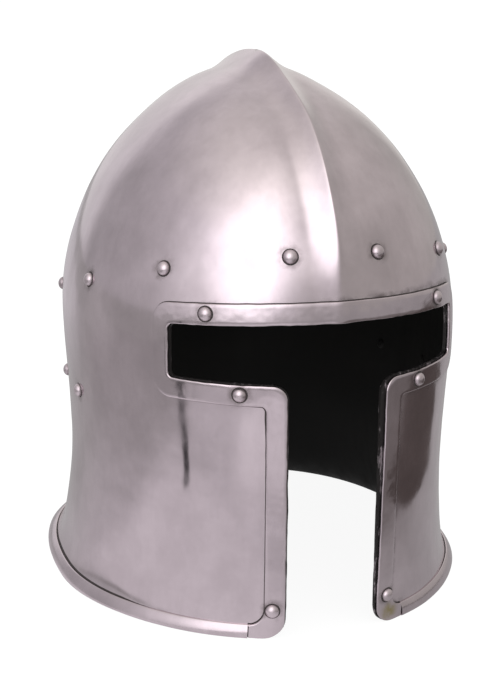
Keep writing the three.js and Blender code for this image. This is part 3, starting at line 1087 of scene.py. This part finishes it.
def rivetSeats():
    # the arc, the height and the lift of every rivet
    seats = []
    for row in borderRivets:
        for side in (-1, 1):
            seats.append((side * row["arc"], row["up"], border["gap"] + border["steel"]))
    for row in ringRivets:
        whole = wayRow(riseAt(row["up"]))[-1]
        for side in row["sides"]:
            seats.append((side * row["arc"] * whole, row["up"], 0.0))
    return np.array(seats).T


def surfaceNormal(arc, up, lift):
    # the true outward direction, the ridge's flanks included
    step = 0.8
    along = onPlate(arc + step, up, lift, False) - onPlate(arc - step, up, lift, False)
    rising = onPlate(arc, up + step, lift, False) - onPlate(arc, up - step, lift, False)
    normal = np.cross(along, rising)
    return normal / np.linalg.norm(normal, axis=-1, keepdims=True)


def pointCloud(name, points, ways):
    obj = meshObject(name, points, [])
    kept = obj.data.attributes.new("outward", "FLOAT_VECTOR", "POINT")
    kept.data.foreach_set("vector", np.asarray(ways, float).ravel())
    return obj


def growRivets(name, seats, ways, radius, height, uneven, material, *nodes):
    sizes = {
        "Radius": radius * mm,
        "Height": height * mm,
        "Uneven": uneven,
        "Seed": rivet["seed"],
        "Material": material,
    }
    obj = growWith(pointCloud(name + "Seats", seats, ways), rivetTree(), sizes, name)
    outwardFaces(obj)
    smoothShade(obj, sharpAngle)
    fit(obj, "rivet_steel", *nodes)


def makeRivets():
    arcs, ups, lifts = rivetSeats()
    ways = surfaceNormal(arcs, ups, lifts)
    seats = onPlate(arcs, ups, lifts)
    inside = onPlate(arcs, ups, -skull["wall"] + 0 * lifts, False)
    radius, height, uneven = rivet["radius"], rivet["height"], rivet["uneven"]
    nodes = [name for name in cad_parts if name.startswith("rivet_")]
    growRivets("rivetHeads", seats, ways, radius, height, uneven, rivetSteel, *nodes)
    # a dark ring round the foot of each head: painted shadow, with polish and dirt
    growRivets("rivetShadeRings", seats, ways, radius + joint["ring"], joint["lift"], 0.0, jointShadeAndPolish)
    growRivets("rivetTails", inside, -ways, rivet["tailRadius"], rivet["tailHeight"], 0.0, blackInside)
    print("rivets made:", len(arcs))


# Studio


studio = {
    "fill": 1.0,
    "floorSize": 30,
    "floorGlow": 0.93,
    "tentRadius": 6,
    "tentBase": 0.47,
    "tentReach": 1.6,
    "poolDepth": 4,  # how far below the floor the first of the pools lies, in millimetres
    "poolStep": 0.3,
    "poolFull": 0.72,  # the share of its reach over which a pool is at its full strength
}

# Lights in the tent. They stand towards an azimuth, in degrees from straight ahead with minus
# on the wearer's right, and a height; stops give how they fade, in shares of the tent's reach.
# A plane is a direction, where the light starts and is full along it, and what is left before.
tentLights = [
    {
        "towards": (-28, 28),
        "strength": 1.5,
        "stops": [
            (0, 1), (0.22, 1), (0.31, 0.82), (0.43, 0.44),
            (0.53, 0.25), (0.64, 0.13), (0.78, 0.05), (0.95, 0),
        ],
        "planes": [((-0.432, 0.27, 0.86), -0.3, 0.12, 0.12), ((-0.93, 0, 0.37), 0.24, 0.46, 0.45)],
    },
    {"towards": (180, 80), "strength": 0.2, "stops": [(0.2, 1), (0.7, 0)]},
    {"towards": (172, 8), "strength": 0.3, "stops": [(0.27, 1), (0.4, 0)]},
    {"towards": (168, 52), "strength": 0.09, "stops": [(0.15, 1), (0.45, 0)]},
    {"towards": (105, 30), "strength": 0.07, "stops": [(0.2, 1), (0.5, 0)]},
]

# What the steel mirrors low down, in metres: soft pools of light on the table, then things
# with a clear outline.
floorPools = [
    {"name": "room", "glow": 0.43, "tint": (1, 0.98, 0.98), "centre": (0, 0), "reach": (90, 90)},
    {"name": "table", "glow": 0.64, "tint": (1, 0.97, 1), "centre": (-0.26, -0.42), "reach": (0.36, 0.62)},
    {"name": "behind", "glow": 0.62, "tint": (1, 0.97, 1), "centre": (-0.2, 1.6), "reach": (0.4, 1.3)},
    {"name": "shade", "glow": 0.41, "tint": (1, 0.97, 0.98), "centre": (-0.55, 0.1), "reach": (0.32, 0.4)},
    {"name": "front", "glow": 0.82, "tint": (1, 0.97, 1), "centre": (-0.17, -0.42), "reach": (0.13, 0.2)},
    {"name": "near", "glow": 0.8, "tint": (1, 0.97, 1), "centre": (-0.15, -0.1), "reach": (0.16, 0.14)},
    {"name": "dim", "glow": 0.2, "tint": (1, 0.93, 0.9), "centre": (0.55, -0.36), "reach": (0.6, 0.36)},
]
floorShapes = [
    {
        "name": "dark",
        "glow": 0.1,
        "tint": (1, 0.85, 0.8),
        "outline": [(0.2, -0.2), (0.198, -0.1), (0.25, 0.0), (0.36, 0.055), (1.6, 0.3), (1.6, -0.2)],
    },
    {
        "name": "streak",
        "glow": 0.03,
        "tint": (1, 0.95, 1),
        "outline": [(-0.252, -0.118), (-1.0, -0.3), (-1.0, -0.35), (-0.252, -0.136)],
    },
]


def mirroredOnly(obj):
    # shows in the steel, and neither to the camera nor as light on the floor
    for ray in ("camera", "diffuse", "shadow", "transmission", "volume_scatter"):
        setattr(obj, "visible_" + ray, False)


def towards(azimuth, height):
    a = math.radians(azimuth)
    h = math.radians(height)
    return (math.sin(a) * math.cos(h), -math.cos(a) * math.cos(h), math.sin(h))


def tentMaterial():
    shader = Shader("tentGlow")
    place = shader.place()
    way = shader.node("ShaderNodeVectorMath", {0: place}, operation="NORMALIZE").outputs[0]
    glow = studio["tentBase"]
    for light in tentLights:
        away = shader.vector("DISTANCE", way, towards(*light["towards"]), "Value")
        lit = shader.ramp(shader.math("DIVIDE", away, studio["tentReach"]), light["stops"])
        for direction, begin, full, least in light.get("planes", []):
            along = shader.vector("DOT_PRODUCT", way, direction, "Value")
            lit = shader.math("MULTIPLY", lit, shader.range(along, begin, full, least, 1))
        glow = shader.math("ADD", shader.math("MULTIPLY", lit, light["strength"]), glow)
    # warmer towards the wearer's left, and overhead
    split = shader.node("ShaderNodeSeparateXYZ", {0: way}).outputs
    aside = shader.range(split[0], -0.3, 0.6, 0, 1)
    warm = shader.math("MAXIMUM", aside, shader.range(split[2], 0.6, 0.9, 0, 0.85))
    tint = shader.mix(warm, (1, 0.975, 1), (1, 0.975, 0.93))
    return shader.finish(shader.emission(tint, glow))


def makeTent():
    work = bmesh.new()
    bmesh.ops.create_uvsphere(work, u_segments=64, v_segments=32, radius=studio["tentRadius"])
    mesh = bpy.data.meshes.new("tent")
    work.to_mesh(mesh)
    work.free()
    mesh.materials.append(tentMaterial())
    mirroredOnly(addObject("tent", mesh))


def rectangle(name, x, y):
    # flat on the floor round the middle, given half its sides in metres
    corners = [(-x, -y, 0), (x, -y, 0), (x, y, 0), (-x, y, 0)]
    return meshObject(name, np.array(corners) / mm, [(0, 1, 2, 3)])


def poolMaterial(pool):
    # full in the middle and fading to nothing, so what lies beneath shows round it
    shader = Shader(pool["name"] + "Glow")
    place = shader.place()
    x, y = pool["reach"]
    away = shader.vector("MULTIPLY", place, (1 / x, 1 / y, 0))
    far = shader.vector("DISTANCE", away, (0, 0, 0), "Value")
    share = shader.range(far, studio["poolFull"], 1, 1, 0)
    light = shader.emission(pool["tint"], pool["glow"])
    clear = shader.node("ShaderNodeBsdfTransparent")
    return shader.finish(
        shader.node("ShaderNodeMixShader", {0: share, 1: clear.outputs[0], 2: light.outputs[0]})
    )


def makePatches():
    depth = -studio["poolDepth"]
    for pool in floorPools:
        depth += studio["poolStep"]
        x, y = (min(reach, studio["tentRadius"] + 1) for reach in pool["reach"])
        obj = rectangle(pool["name"] + "Pool", x, y)
        obj.location = (*pool["centre"], depth * mm)
        obj.data.materials.append(poolMaterial(pool))
        mirroredOnly(obj)
    for shape in floorShapes:
        depth += studio["poolStep"]
        points = [(x / mm, y / mm, depth) for x, y in shape["outline"]]
        obj = meshObject(shape["name"] + "Shape", points, [tuple(range(len(points)))])
        shader = Shader(shape["name"] + "Glow")
        obj.data.materials.append(shader.finish(shader.emission(shape["tint"], shape["glow"])))
        mirroredOnly(obj)


def makeStudio():
    world = bpy.data.worlds.new("studioWorld")
    world.use_nodes = True
    background = world.node_tree.nodes["Background"].inputs
    background["Color"].default_value = (1, 1, 1, 1)
    background["Strength"].default_value = studio["fill"]
    bpy.context.scene.world = world
    bpy.context.scene.view_settings.view_transform = "Standard"

    shader = Shader("paleFloor")
    paper = shader.noise(shader.place(), 3, 2)
    paleFloor = shader.principled(
        {
            "Base Color": shader.mix(paper, 0.14, 0.17),
            "Roughness": 0.9,
            "Specular IOR Level": 0.0,
            "Emission Color": (1, 1, 1, 1),
            "Emission Strength": studio["floorGlow"],
        }
    )
    floor = rectangle("floor", studio["floorSize"] / 2, studio["floorSize"] / 2)
    floor.data.materials.append(paleFloor)
    floor.visible_glossy = False
    makeTent()
    makePatches()
    print("studio made")


# The photograph's viewpoint: in front, a little to the wearer's right, looking down.
viewpoint = {
    "lens": 77.0,
    "sensor": 36,
    "place": (-277.13, -760.63, 338.67),
    "right": (0.94165, -0.33633, 0.01307),
    "up": (0.07683, 0.25259, 0.96452),
}


def makeCamera():
    data = bpy.data.cameras.new("photoCamera")
    data.lens = viewpoint["lens"]
    data.sensor_width = viewpoint["sensor"]
    data.dof.use_dof = False
    obj = addObject("photoCamera", data)
    right = Vector(viewpoint["right"])
    back = right.cross(Vector(viewpoint["up"])).normalized()
    turn = Matrix((right, back.cross(right), back)).transposed().to_4x4()
    x, y, z = viewpoint["place"]
    place = Vector((x, yShift + y, z)) * mm
    obj.matrix_world = Matrix.Translation(place) @ turn
    bpy.context.scene.camera = obj


makeCamera()
makeSkull()
makeBorder()
makeRim()
makeRivets()
makeStudio()
